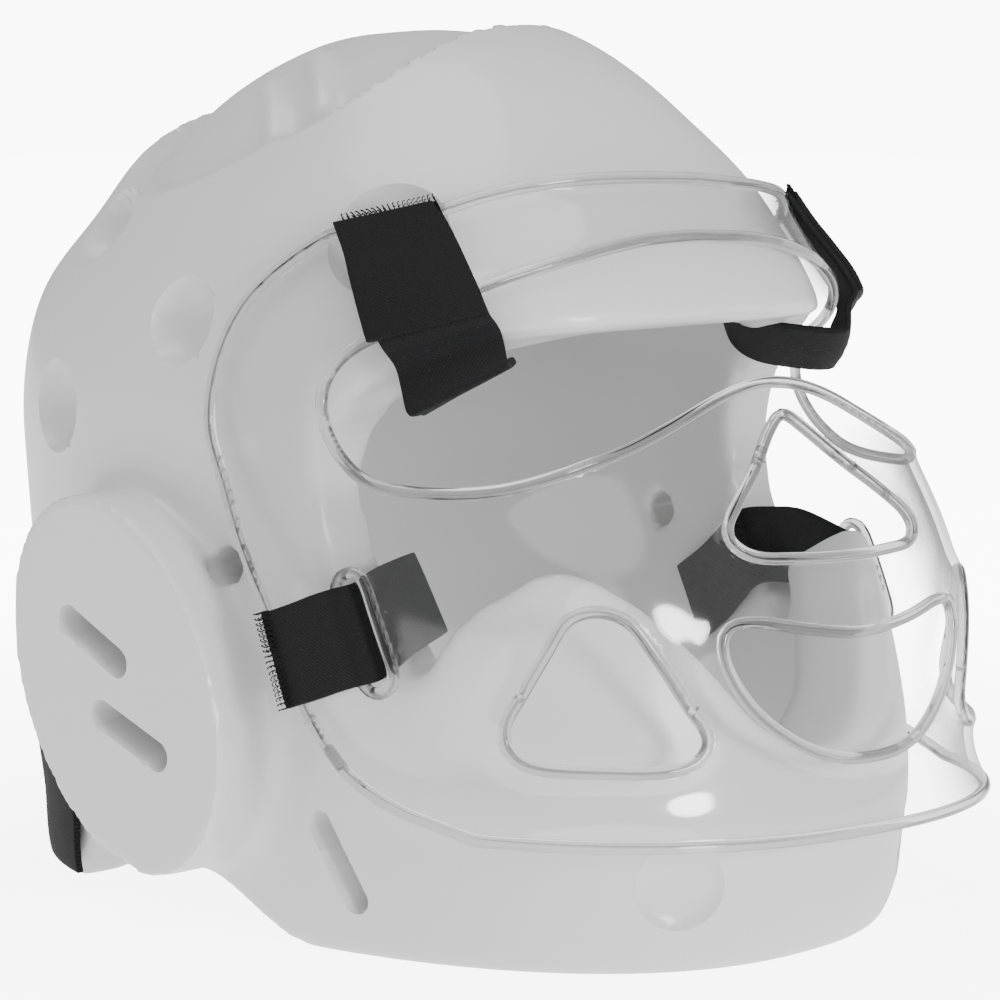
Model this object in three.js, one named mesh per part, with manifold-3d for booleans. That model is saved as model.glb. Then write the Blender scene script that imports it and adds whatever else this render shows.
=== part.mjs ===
// Sparring headgear of dipped foam with a clear face shield held on by hook-and-loop straps.
// Millimetres, +Z up. The wearer looks along -Y, and X runs from ear to ear.
// The origin is under the middle of the whole, on the surface that the rims stand on.
import * as THREE from 'three';
import { mergeVertices } from 'three/addons/utils/BufferGeometryUtils.js';
import Module from 'manifold-3d';

const wasm = await Module();
wasm.setup();

// Foam shell
const shellHeight = 251.5;
const shellHalfWidth = 96;
const foreheadReach = 115;
const rearReach = 127;
const foamThickness = 18;
const crownThickness = 20;
const shellSides = 40;

// Face opening of the foam
const browHeight = 168;

// Ear cups, vents and slots in the foam
const cupFace = 116;
const cupLong = 54;
const cupShort = 38.5;
const cupLean = 30;
const cupHeight = 69;
const cupSetback = 8;
const cupRound = 4;
const ventDepth = 6;
const panelStart = -34;
const panelLength = 116;
const panelDepth = 2.5;
const earHole = 10;
const earHoleSetback = -17;
const earHoleHeight = 102;
const slitWidth = 14;
const slitHeight = 78;

// Face shield
const shieldThickness = 2.6;
const shieldHalfWidth = 105;
const shieldReach = 106;
const shieldAxis = -50;
const shieldClearance = 1.7;
const shieldSag = 3;
const shieldBlend = 3;
const cutDepth = 8 * shieldThickness;
const shieldBottom = 38.5;
const shieldHeight = 171.5;

// Holes of the shield: turn round its axis and height of the centre
const noseHole = { turn: 0, centre: 124.5, width: 80, height: 33.5, steps: 28 };
const mouthHole = { turn: 0, centre: 75, width: 92, height: 35.5, steps: 30 };
const cheekHole = { turn: 41.6, centre: 75, width: 48, height: 38.5, steps: 26 };

// Straps
const strapThickness = 2;
const browStrapWidth = 33;
const browStrapTurn = 75;
const browStrapHeight = 174.5;
const browStrapLean = -63;
const cheekStrapWidth = 26;
const cheekStrapTurn = 75.5;
const cheekStrapHeight = 88.5;
const cheekStrapLean = 24;
const cheekEdge = 0.5786;
const backStrapBottom = 5;
const backStrapTop = 69;
const backStrapTurn = 122;
const backStrapBow = 4;
const backStrapSteps = 16;
const tongueFrom = 5;
const tongueTo = 11;
const fitGap = 0.4;
const strapSlotWidth = 8.5;
const strapSlotSpare = 5;

const degrees = Math.PI / 180;
const sides = { right: -1, left: 1 };

// Foam sections from the rim up: height and reaches as shares of the shell's sizes
const shellSections = [
  { up: 0.000, wide: 0.97, front: 1.225, rear: 0.915, power: 2.3 },
  { up: 0.035, wide: 0.985, front: 1.265, rear: 0.93, power: 2.3 },
  { up: 0.100, wide: 0.99, front: 1.30, rear: 0.935, power: 2.3 },
  { up: 0.210, wide: 0.99, front: 1.28, rear: 0.95, power: 2.45 },
  { up: 0.330, wide: 1.00, front: 1.20, rear: 0.97, power: 2.5 },
  { up: 0.450, wide: 1.01, front: 1.08, rear: 1.00, power: 2.5 },
  { up: 0.570, wide: 1.015, front: 1.00, rear: 1.01, power: 2.5 },
  { up: 0.680, wide: 0.97, front: 0.97, rear: 0.965, power: 2.4 },
  { up: 0.770, wide: 0.845, front: 0.875, rear: 0.825, power: 2.3 },
  { up: 0.820, wide: 0.76, front: 0.785, rear: 0.755, power: 2.3 },
  { up: 0.873, wide: 0.64, front: 0.67, rear: 0.665, power: 2.2 },
  { up: 0.925, wide: 0.515, front: 0.54, rear: 0.545, power: 2.1 },
  { up: 0.967, wide: 0.365, front: 0.39, rear: 0.39, power: 2.0 },
  { up: 0.992, wide: 0.19, front: 0.21, rear: 0.23, power: 2.0 },
];

// Face opening seen from the side: how far in front of the axis, as a share of the forehead's
// reach, and how high, as a share of the brow's height
const faceOpening = [
  { fore: 1.10, up: 0.62 }, { fore: 0.99, up: 0.632 }, { fore: 0.935, up: 0.638 }, { fore: 0.89, up: 0.632 },
  { fore: 0.843, up: 0.604 }, { fore: 0.771, up: 0.565 }, { fore: 0.728, up: 0.525 }, { fore: 0.695, up: 0.475 },
  { fore: 0.645, up: 0.453 }, { fore: 0.605, up: 0.48 }, { fore: 0.578, up: 0.527 }, { fore: 0.51, up: 0.578 },
  { fore: 0.448, up: 0.643 }, { fore: 0.417, up: 0.744 }, { fore: 0.426, up: 0.789 }, { fore: 0.443, up: 0.829 },
  { fore: 0.483, up: 0.872 }, { fore: 0.564, up: 0.908 }, { fore: 0.633, up: 0.943 }, { fore: 0.774, up: 0.982 },
  { fore: 0.90, up: 0.991 }, { fore: 1.00, up: 1.00 },
];

// Notch over the chin seen from the front: out as a share of the half width, up as above
const chinNotch = [
  { out: 0, up: 0.34 }, { out: 0.105, up: 0.348 }, { out: 0.23, up: 0.394 }, { out: 0.365, up: 0.506 },
  { out: 0.49, up: 0.586 }, { out: 0.57, up: 0.622 }, { out: 0.65, up: 0.637 }, { out: 0.74, up: 0.645 },
  { out: 0.74, up: 0.72 },
];

// Half width of the crown's vent panel, as a share of the shell's half width, by share of its length
const panelHalf = [
  { along: 0, half: 0.06 }, { along: 0.03, half: 0.34 }, { along: 0.14, half: 0.57 }, { along: 0.3, half: 0.68 },
  { along: 0.48, half: 0.75 }, { along: 0.7, half: 0.73 }, { along: 0.88, half: 0.58 }, { along: 0.97, half: 0.34 },
  { along: 1, half: 0.06 },
];

// Shield sections from its own axis, all as shares of its height, half width and reach
const shieldSections = [
  { up: -0.03, wide: 1.055, front: 1.12, power: 2.3 },
  { up: 0.03, wide: 1.03, front: 1.075, power: 2.3 },
  { up: 0.145, wide: 1.015, front: 1.03, power: 2.3 },
  { up: 0.32, wide: 1.00, front: 1.00, power: 2.35 },
  { up: 0.425, wide: 0.98, front: 0.93, power: 2.4 },
  { up: 0.587, wide: 0.925, front: 0.765, power: 2.4 },
  { up: 0.669, wide: 0.90, front: 0.71, power: 2.3 },
  { up: 0.785, wide: 0.84, front: 0.60, power: 2.2 },
  { up: 0.90, wide: 0.70, front: 0.50, power: 2.1 },
  { up: 1.02, wide: 0.60, front: 0.42, power: 2.1 },
];

// Shield outline: how far round the sides it reaches, in degrees from the front, at each height
const shieldOutline = [
  { up: -0.03, turn: 52 }, { up: 0, turn: 58 }, { up: 0.03, turn: 69 }, { up: 0.076, turn: 78 },
  { up: 0.18, turn: 87 }, { up: 0.273, turn: 92 }, { up: 0.384, turn: 99.5 }, { up: 0.483, turn: 105 },
  { up: 0.576, turn: 108.5 }, { up: 0.68, turn: 108 }, { up: 0.779, turn: 105 }, { up: 0.843, turn: 100.5 },
  { up: 0.878, turn: 96 }, { up: 0.919, turn: 89.5 }, { up: 1.02, turn: 86 },
];

// Upper and lower edge of the eye opening, as shares of the shield's height, by turn from the front
const eyeOpening = [
  { turn: 0, low: 0.674, high: 0.882 }, { turn: 8, low: 0.668, high: 0.882 },
  { turn: 17, low: 0.648, high: 0.879 }, { turn: 27, low: 0.614, high: 0.872 },
  { turn: 41, low: 0.566, high: 0.851 }, { turn: 56, low: 0.522, high: 0.817 },
  { turn: 68, low: 0.512, high: 0.776 }, { turn: 77, low: 0.522, high: 0.730 },
  { turn: 82.5, low: 0.556, high: 0.702 }, { turn: 85.5, low: 0.592, high: 0.675 },
  { turn: 86.8, low: 0.622, high: 0.648 },
];

// Top edge of the shield band: drop as a share of the height, by share of its half length
const bandTop = [
  { along: 0, drop: 0.018 }, { along: 0.26, drop: 0.021 }, { along: 0.42, drop: 0.025 },
  { along: 0.55, drop: 0.032 }, { along: 0.66, drop: 0.043 }, { along: 0.75, drop: 0.058 },
  { along: 0.83, drop: 0.078 }, { along: 0.92, drop: 0.098 }, { along: 1, drop: 0.116 },
];

// Value of a column at a place, read between the rows of a table
function readTable(rows, key, place, column) {
  const last = rows.length - 1;
  if (place <= rows[0][key]) return rows[0][column];
  if (place >= rows[last][key]) return rows[last][column];
  const i = rows.findIndex((row) => row[key] > place) - 1;
  const share = (place - rows[i][key]) / (rows[i + 1][key] - rows[i][key]);
  const before = rows[Math.max(i - 1, 0)][column];
  const after = rows[Math.min(i + 2, last)][column];
  const [a, b] = [rows[i][column], rows[i + 1][column]];
  const bend = share * share * (3 - 2 * share);
  const slopeA = (b - before) / 2;
  const slopeB = (after - a) / 2;
  const pull = share * (1 - share) * ((1 - share) * slopeA - share * slopeB);
  return a + (b - a) * bend + pull;
}

// Closed mesh with shared vertices as a solid
function solidOf(geometry) {
  geometry.deleteAttribute('normal');
  geometry.deleteAttribute('uv');
  const merged = mergeVertices(geometry, 1e-4);
  const vertProperties = new Float32Array(merged.attributes.position.array);
  const triVerts = new Uint32Array(merged.index.array);
  return new wasm.Manifold(new wasm.Mesh({ numProp: 3, vertProperties, triVerts }));
}

function geometryOf(solid) {
  const mesh = solid.getMesh();
  const geometry = new THREE.BufferGeometry();
  geometry.setAttribute('position', new THREE.BufferAttribute(new Float32Array(mesh.vertProperties), 3));
  geometry.setIndex(new THREE.BufferAttribute(new Uint32Array(mesh.triVerts), 1));
  geometry.computeVertexNormals();
  return geometry;
}

// Moves every vertex of a geometry by a function of its old place
function warp(geometry, place) {
  const position = geometry.attributes.position;
  const point = new THREE.Vector3();
  for (let i = 0; i < position.count; i += 1) {
    point.fromBufferAttribute(position, i);
    place(point);
    position.setXYZ(i, point.x, point.y, point.z);
  }
  return geometry;
}

// Lower edge arched up below the ears: back as a share of the rear reach, up as above
const earArch = [
  { back: -0.307, up: -0.006 }, { back: -0.236, up: 0.018 }, { back: -0.173, up: 0.048 }, { back: 0.016, up: 0.119 },
  { back: 0.157, up: 0.143 }, { back: 0.346, up: 0.137 }, { back: 0.457, up: 0.065 }, { back: 0.52, up: -0.006 },
];

// Distance from the shell's axis to its outer face, in a direction turned from the front
function shellRadius(section, turn) {
  const reach = Math.cos(turn) > 0 ? section.front * foreheadReach : section.rear * rearReach;
  const half = section.wide * shellHalfWidth;
  const across = Math.pow(Math.abs(Math.sin(turn)) / half, section.power);
  const along = Math.pow(Math.abs(Math.cos(turn)) / reach, section.power);
  return Math.pow(across + along, -1 / section.power);
}

function shellSectionAt(up) {
  const read = (column) => readTable(shellSections, 'up', up, column);
  return { up, wide: read('wide'), front: read('front'), rear: read('rear'), power: read('power') };
}

// Lathed profile warped to the shell's sections, shrunk by a wall for the hollow
function shellLoft(wall, crownWall, floor) {
  const wide = (shellHalfWidth - wall) / shellHalfWidth;
  const high = (shellHeight - crownWall) / shellHeight;
  const profile = [new THREE.Vector2(0, floor)];
  if (floor < 0) profile.push(new THREE.Vector2(1, floor));
  shellSections.forEach((section, i) => {
    profile.push(new THREE.Vector2(1, section.up));
    const next = shellSections[i + 1];
    if (next && section.up > 0.6) profile.push(new THREE.Vector2(1, (section.up + next.up) / 2));
  });
  profile.push(new THREE.Vector2(0, 1));
  const geometry = new THREE.LatheGeometry(profile, shellSides);
  return solidOf(warp(geometry, (point) => {
    const spread = Math.hypot(point.x, point.z);
    const turn = Math.atan2(point.x, point.z);
    const radius = spread < 0.5 ? 0 : shellRadius(shellSectionAt(point.y), turn) * wide;
    point.set(radius * Math.sin(turn), -radius * Math.cos(turn), point.y * shellHeight * high);
  }));
}

// Distance from the shield's axis to the foam's outer face, or to its inner face when given the walls
function foamRadiusFromShieldAxis(turn, height, wall, crownWall) {
  const wide = (shellHalfWidth - wall) / shellHalfWidth;
  const up = height / (shellHeight - crownWall);
  const section = shellSectionAt(up);
  let near = 0;
  let far = 2 * rearReach;
  for (let i = 0; i < 24; i += 1) {
    const middle = (near + far) / 2;
    const x = middle * Math.sin(turn);
    const y = shieldAxis - middle * Math.cos(turn);
    const inside = Math.hypot(x, y) < shellRadius(section, Math.atan2(x, -y)) * wide;
    if (inside) near = middle; else far = middle;
  }
  return near;
}

// How much lower the shield hangs at a turn, more on the left side than on the right
function sagAt(turn) {
  return shieldSag * Math.sin(turn);
}

// Shield's outer face: its own sections, blended into the foam's form with the clearance kept
function shieldRadius(turn, height) {
  const up = (height - shieldBottom) / shieldHeight;
  const read = (column) => readTable(shieldSections, 'up', up, column);
  const power = read('power');
  const across = Math.pow(Math.abs(Math.sin(turn)) / (read('wide') * shieldHalfWidth), power);
  const along = Math.pow(Math.max(Math.cos(turn), 0) / (read('front') * shieldReach), power);
  const own = Math.pow(across + along, -1 / power);
  const onFoam = foamOuter(turn, height - sagAt(turn)) + shieldClearance + shieldThickness;
  return (own + onFoam + Math.hypot(own - onFoam, shieldBlend)) / 2;
}

function foamOuter(turn, height) {
  return foamRadiusFromShieldAxis(turn, height, 0, 0);
}

function foamInner(turn, height) {
  return foamRadiusFromShieldAxis(turn, height, foamThickness, crownThickness);
}

// Point at a turn, height and radius from the shield's axis
function roundPoint(turn, radius, height) {
  return new THREE.Vector3(radius * Math.sin(turn), shieldAxis - radius * Math.cos(turn), height);
}

function shieldPoint(turn, radius, height) {
  return roundPoint(turn, radius, height - sagAt(turn));
}

// Half an outline and its mirror image, in order round the hole
function mirroredOutline(half) {
  const other = half.slice(1, -1).reverse().map((row) => ({ out: -row.out, up: row.up }));
  return half.concat(other);
}

// Cut through the shield: a smooth outline in arc length and height, wrapped round the shield's axis
function shieldHole(outline, hole) {
  const side = hole.side ?? 1;
  const points = outline.map((row) => new THREE.Vector3(side * row.out * hole.width / 2, row.up * hole.height, 0));
  if (side < 0) points.reverse();
  const curve = new THREE.CatmullRomCurve3(points, true, 'centripetal');
  const steps = curve.getSpacedPoints(hole.steps).slice(0, -1);
  const lean = side * (hole.lean ?? 0) * degrees;
  const shape = new THREE.Shape(steps.map((p) => new THREE.Vector2(
    p.x * Math.cos(lean) - p.y * Math.sin(lean), p.x * Math.sin(lean) + p.y * Math.cos(lean))));
  const geometry = new THREE.ExtrudeGeometry(shape, { depth: 1, bevelEnabled: false });
  return solidOf(warp(geometry, (point) => {
    const turn = side * hole.turn * degrees + point.x / shieldReach;
    const height = hole.centre + point.y;
    const radius = shieldRadius(turn, height) + (point.z - 0.5) * cutDepth;
    point.copy(shieldPoint(turn, radius, height));
  }));
}

// Stadium outline: a slot with round ends
function stadium(length, width) {
  const shape = new THREE.Shape();
  const half = length / 2 - width / 2;
  shape.absarc(half, 0, width / 2, -Math.PI / 2, Math.PI / 2);
  shape.absarc(-half, 0, width / 2, Math.PI / 2, 1.5 * Math.PI);
  return shape;
}

function shapeOf(points) {
  return new THREE.Shape(points.map(([a, b]) => new THREE.Vector2(a, b)));
}

// Extruded outline standing along X, its outline given in (y, z)
function sideExtrude(shape, options, lean = 0) {
  const geometry = new THREE.ExtrudeGeometry(shape, { bevelEnabled: false, ...options });
  geometry.rotateZ(lean * degrees);
  return geometry.applyMatrix4(new THREE.Matrix4().makeBasis(
    new THREE.Vector3(0, 1, 0), new THREE.Vector3(0, 0, 1), new THREE.Vector3(1, 0, 0)));
}

// Cut right across the shell along X
function sideCut(points) {
  const across = 4 * shellHalfWidth;
  const geometry = sideExtrude(shapeOf(points), { depth: across });
  return solidOf(geometry.translate(-across / 2, 0, 0));
}

// Cut along Y between two places, its outline given in (x, z)
function frontCut(points, from, to) {
  const geometry = new THREE.ExtrudeGeometry(shapeOf(points), { depth: to - from, bevelEnabled: false });
  geometry.applyMatrix4(new THREE.Matrix4().makeBasis(
    new THREE.Vector3(1, 0, 0), new THREE.Vector3(0, 0, 1), new THREE.Vector3(0, -1, 0)));
  return solidOf(geometry.translate(0, to, 0));
}

// Ear cup: a leaning oval pad that swells out of the side of the shell
function earCup(side) {
  const shape = new THREE.Shape();
  const rim = cupShort - cupRound;
  shape.absellipse(0, 0, rim, cupLong - cupRound, 0, 2 * Math.PI, false, 0);
  const root = shellHalfWidth - foamThickness * 0.7;
  const depth = cupFace - cupRound - root;
  const round = { bevelEnabled: true, bevelSize: cupRound, bevelThickness: cupRound, bevelSegments: 2 };
  const geometry = sideExtrude(shape, { depth, curveSegments: 9, ...round }, -cupLean);
  return solidOf(geometry.translate(side > 0 ? root : -root - depth, cupSetback, cupHeight));
}

// Blind slot in a side face
function sideSlot(side, slot) {
  const depth = 2 * foamThickness;
  const geometry = sideExtrude(stadium(slot.length, slot.width), { depth, curveSegments: 4 }, slot.lean);
  return solidOf(geometry.translate(side > 0 ? slot.floor : -slot.floor - depth, slot.back, slot.height));
}

// Dimple: a shallow bowl pressed into the outer face, square to it
function dimple(side, row) {
  const across = row.across * foamThickness;
  const round = (across * across / 4 + ventDepth * ventDepth) / (2 * ventDepth);
  const turn = side * row.turn * degrees;
  const step = 0.02;
  const above = shellRadius(shellSectionAt(row.up + step), turn);
  const below = shellRadius(shellSectionAt(row.up - step), turn);
  const lean = Math.atan2(below - above, 2 * step * shellHeight);
  const outward = round - ventDepth;
  const radius = shellRadius(shellSectionAt(row.up), turn) + outward * Math.cos(lean);
  const height = row.up * shellHeight + outward * Math.sin(lean);
  const geometry = new THREE.SphereGeometry(round, 14, 10);
  return solidOf(geometry.translate(radius * Math.sin(turn), -radius * Math.cos(turn), height));
}

// Dimples of one side: turn from the front, height as a share of the shell, width in foam thicknesses
const dimples = [
  { turn: 92, up: 0.665, across: 1.35 }, { turn: 124, up: 0.555, across: 1.45 },
  { turn: 128, up: 0.755, across: 1.45 }, { turn: 53, up: 0.757, across: 2.0 },
  { turn: 19, up: 0.10, across: 1.15 }, { turn: 158, up: 0.62, across: 1.45 },
];

// Blind slots of one side, set in from the ear cup's face or from the jaw
const sideSlots = [
  { back: cupSetback + 8, height: cupHeight + 11, length: 31, width: 8.5, lean: 25, floor: cupFace - 10 },
  { back: cupSetback - 7, height: cupHeight - 13, length: 33, width: 8.5, lean: 20, floor: cupFace - 10 },
  { back: -54, height: 26, length: 29, width: 7.5, lean: 60, floor: shellHalfWidth * 0.84 },
];

function foamShell() {
  let shell = shellLoft(0, 0, 0);
  shell = shell.subtract(sideCut(earArch.map((row) => [row.back * rearReach, row.up * browHeight])));
  for (const side of Object.values(sides)) shell = shell.add(earCup(side));
  shell = shell.subtract(shellLoft(foamThickness, crownThickness, -0.2));
  // Eye slot right through from temple to temple, with the cheek pads rising in front of it
  const front = -2 * foreheadReach;
  const eyeSlot = faceOpening.map((row) => [-row.fore * foreheadReach, row.up * browHeight]);
  shell = shell.subtract(sideCut(eyeSlot.concat([[front, browHeight], [front, 0.62 * browHeight]])));
  const notch = chinNotch.map((row) => [row.out * shellHalfWidth, row.up * browHeight]);
  const otherHalf = notch.slice(1).reverse().map(([out, up]) => [-out, up]);
  shell = shell.subtract(frontCut(notch.concat(otherHalf), front, -0.6 * foreheadReach));
  // Rear slit that lets the shell open, under the closing strap
  const slit = [
    [-slitWidth / 2, -1], [slitWidth / 2, -1], [slitWidth / 2, slitHeight - slitWidth / 2],
    [0, slitHeight], [-slitWidth / 2, slitHeight - slitWidth / 2],
  ];
  shell = shell.subtract(frontCut(slit, rearReach / 2, 2 * rearReach));
  for (const side of Object.values(sides)) {
    for (const row of dimples) shell = shell.subtract(dimple(side, row));
    for (const row of sideSlots) shell = shell.subtract(sideSlot(side, row));
    const hole = new THREE.CylinderGeometry(earHole / 2, earHole / 2, 3 * foamThickness, 12);
    hole.rotateZ(90 * degrees);
    hole.translate(side * (shellHalfWidth - foamThickness / 2), earHoleSetback, earHoleHeight);
    shell = shell.subtract(solidOf(hole));
  }
  return shell.subtract(crownPanel());
}

// Shallow vent panel let into the crown, round at both ends
function crownPanel() {
  const geometry = new THREE.BoxGeometry(1, 1, 1, 12, 12, 1);
  return solidOf(warp(geometry, (point) => {
    const along = Math.sin(point.y * Math.PI) / 2 + 0.5;
    const half = readTable(panelHalf, 'along', along, 'half') * shellHalfWidth;
    const out = 2 * point.x * half;
    const back = panelStart + along * panelLength;
    const surface = crownHeight(out, back);
    point.set(out, back, surface + (point.z > 0 ? foamThickness : -panelDepth));
  }));
}

// Height of the outer face over a place on the crown
function crownHeight(out, back) {
  let low = 0.45;
  let high = 1;
  const spread = Math.hypot(out, back);
  const last = shellSections[shellSections.length - 1];
  for (let i = 0; i < 24; i += 1) {
    const up = (low + high) / 2;
    const spare = up > last.up ? (1 - up) / (1 - last.up) : 1;
    if (shellRadius(shellSectionAt(up), Math.atan2(out, -back)) * spare > spread) low = up; else high = up;
  }
  return low * shellHeight;
}

// Hole outlines: out as a share of half the width, up as a share of the height, from the centre
const noseOutline = mirroredOutline([
  { out: 0, up: 0.57 }, { out: 0.22, up: 0.46 }, { out: 0.55, up: 0.19 }, { out: 0.85, up: -0.06 },
  { out: 1, up: -0.25 }, { out: 0.88, up: -0.37 }, { out: 0.45, up: -0.42 }, { out: 0, up: -0.43 },
]);
const mouthOutline = mirroredOutline([
  { out: 0, up: 0.38 }, { out: 0.43, up: 0.44 }, { out: 0.83, up: 0.52 }, { out: 0.98, up: 0.49 },
  { out: 1, up: 0.34 }, { out: 0.91, up: 0.08 }, { out: 0.72, up: -0.18 }, { out: 0.39, up: -0.41 },
  { out: 0, up: -0.48 },
]);
const cheekOutline = [
  { out: 0.08, up: 0.57 }, { out: -0.21, up: 0.52 }, { out: -0.5, up: 0.28 }, { out: -0.83, up: -0.05 },
  { out: -1.04, up: -0.26 }, { out: -0.88, up: -0.39 }, { out: 0, up: -0.43 }, { out: 0.83, up: -0.38 },
  { out: 0.96, up: -0.23 }, { out: 0.75, up: 0.05 }, { out: 0.5, up: 0.34 }, { out: 0.33, up: 0.52 },
];

function faceShield() {
  const geometry = new THREE.BoxGeometry(1, 1, 1, 36, 14, 1);
  let shield = solidOf(warp(geometry, (point) => {
    const along = point.x * 2;
    const top = 1 - readTable(bandTop, 'along', Math.abs(along), 'drop');
    const row = point.y + 0.5;
    const up = top * row * (0.4 + 0.6 * row);
    const height = shieldBottom + up * shieldHeight;
    const turn = along * readTable(shieldOutline, 'up', up, 'turn') * degrees;
    const radius = shieldRadius(turn, height) - (point.z > 0 ? 0 : shieldThickness);
    point.copy(shieldPoint(turn, radius, height));
  }));
  shield = shield.subtract(eyeCut());
  shield = shield.subtract(shieldHole(noseOutline, noseHole));
  shield = shield.subtract(shieldHole(mouthOutline, mouthHole));
  const slotOutline = stadium(1, strapSlotWidth / (cheekStrapWidth + strapSlotSpare)).getSpacedPoints(16)
    .slice(0, -1).map((p) => ({ out: p.y * (cheekStrapWidth + strapSlotSpare), up: p.x }));
  for (const side of Object.values(sides)) {
    shield = shield.subtract(shieldHole(cheekOutline, { ...cheekHole, side }));
    const length = cheekStrapWidth + strapSlotSpare;
    const slot = { turn: cheekStrapTurn, centre: cheekStrapHeight, width: 2, height: length };
    shield = shield.subtract(shieldHole(slotOutline, { ...slot, steps: 16, lean: -cheekStrapLean, side }));
  }
  return shield;
}

function eyeCut() {
  const geometry = new THREE.BoxGeometry(1, 1, 1, 40, 1, 1);
  return solidOf(warp(geometry, (point) => {
    const reach = eyeOpening[eyeOpening.length - 1].turn;
    const turn = Math.sin(point.x * Math.PI) * reach;
    const share = readTable(eyeOpening, 'turn', Math.abs(turn), point.y < 0 ? 'low' : 'high');
    const height = shieldBottom + share * shieldHeight;
    const radius = shieldRadius(turn * degrees, height) + point.z * cutDepth;
    point.copy(shieldPoint(turn * degrees, radius, height));
  }));
}

// Surfaces that a strap lies on, as distances from the shield's axis to the strap's middle
const layers = {
  overShield: (turn, height) => shieldRadius(turn, height + sagAt(turn)) + 2.5 * fitGap + strapThickness / 2,
  inShield: (turn, height) => shieldRadius(turn, height + sagAt(turn)) - shieldThickness / 2,
  overFoam: (turn, height) => foamOuter(turn, height) + fitGap + strapThickness / 2,
  insideFoam: (turn, height) => foamInner(turn, height) - fitGap - strapThickness / 2,
};

// Strap laid through the rows of its path, with turn, height, lean and width of its middle in strap
function layStrap(side, strap, path) {
  const middle = (share, out) => {
    const place = share * (path.length - 1);
    const i = Math.min(Math.floor(place), path.length - 2);
    const at = [path[i], path[i + 1]].map((row) => {
      const lean = row.lean * degrees;
      const fore = row.fore * strap.width - out * Math.sin(lean);
      const turn = side * (strap.turn * degrees - fore / shieldReach);
      const sag = row.layer === 'insideFoam' ? 0 : sagAt(side * strap.turn * degrees);
      const height = strap.height - sag + row.up * strap.width + out * Math.cos(lean);
      return roundPoint(turn, layers[row.layer](turn, height) + row.lift * strapThickness, height);
    });
    return at[0].lerp(at[1], place - i);
  };
  const pieces = path.length - 1;
  const geometry = new THREE.BoxGeometry(1, 1, 1, 3, 1, pieces);
  return solidOf(warp(geometry, (point) => {
    const out = point.x * strap.width;
    const share = point.z + 0.5;
    const step = 0.5 / pieces;
    const before = middle(Math.max(share - step, 0), out);
    const along = middle(Math.min(share + step, 1), out).sub(before);
    const across = middle(share, out + 0.5).sub(middle(share, out - 0.5));
    const normal = along.cross(across).normalize().multiplyScalar(point.y * strapThickness);
    point.copy(middle(share, out).add(normal));
  }));
}

// Brow strap: down over the shield band, round the brow's lower rim and up inside the forehead.
// Down along the strap in strap widths, lift off the layer in strap thicknesses, lean across in degrees
const browPath = [
  { down: -0.697, layer: 'overShield', lift: 0, lean: -80 }, { down: -0.424, layer: 'overShield', lift: 0, lean: -80 },
  { down: -0.152, layer: 'overShield', lift: 0, lean: -80 }, { down: 0.121, layer: 'overShield', lift: 0, lean: -80 },
  { down: 0.364, layer: 'overShield', lift: 0, lean: -80 }, { down: 0.606, layer: 'overShield', lift: -0.5, lean: -74 },
  { down: 0.818, layer: 'overFoam', lift: 0.5, lean: -68 }, { down: 0.939, layer: 'overFoam', lift: -2.5, lean: -66 },
  { down: 0.939, layer: 'insideFoam', lift: 1.5, lean: -66 }, { down: 0.818, layer: 'insideFoam', lift: -1, lean: -68 },
  { down: 0.485, layer: 'insideFoam', lift: -1, lean: -74 }, { down: 0.121, layer: 'insideFoam', lift: -1, lean: -80 },
  { down: -0.242, layer: 'insideFoam', lift: -1, lean: -80 },
];

function browStrap(side) {
  const strap = { turn: browStrapTurn, height: browStrapHeight, width: browStrapWidth };
  const lean = browStrapLean * degrees;
  const path = browPath.map((row) => ({ ...row, fore: row.down * Math.cos(lean), up: row.down * Math.sin(lean) }));
  return layStrap(side, strap, path);
}

// Cheek strap: from its flap over the shield, through the slot, round the foam's edge and back inside.
// Fore and up in strap widths, from the slot outside the foam and from the foam's edge inside it
const cheekPath = [
  { fore: -1.077, up: -0.385, layer: 'overShield', lift: 0, lean: 24 },
  { fore: -0.692, up: -0.25, layer: 'overShield', lift: 0, lean: 24 },
  { fore: -0.346, up: -0.115, layer: 'overShield', lift: 0, lean: 24 },
  { fore: -0.115, up: -0.038, layer: 'overShield', lift: 0, lean: 24 },
  { fore: 0, up: 0, layer: 'inShield', lift: 0, lean: 24 },
  { fore: 0.308, up: 0.231, layer: 'insideFoam', lift: 10, lean: 34 },
  { fore: 0.308, up: 0.308, layer: 'insideFoam', lift: 3.75, lean: 37 },
  { fore: 0.192, up: 0.308, layer: 'insideFoam', lift: 0, lean: 38 },
  { fore: -0.038, up: 0.231, layer: 'insideFoam', lift: -1, lean: 38 },
  { fore: -0.462, up: 0.038, layer: 'insideFoam', lift: -1, lean: 37 },
  { fore: -1, up: -0.231, layer: 'insideFoam', lift: -0.5, lean: 36 },
  { fore: -1.538, up: -0.5, layer: 'insideFoam', lift: -0.5, lean: 35 },
];

function cheekStrap(side) {
  const strap = { turn: cheekStrapTurn, height: cheekStrapHeight, width: cheekStrapWidth };
  const slotReach = shieldReach * Math.cos(cheekStrapTurn * degrees);
  const edge = (foreheadReach * cheekEdge + shieldAxis - slotReach) / cheekStrapWidth;
  const path = cheekPath.map((row) => ({ ...row, fore: row.fore + (row.layer === 'insideFoam' ? edge : 0) }));
  return layStrap(side, strap, path);
}

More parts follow.
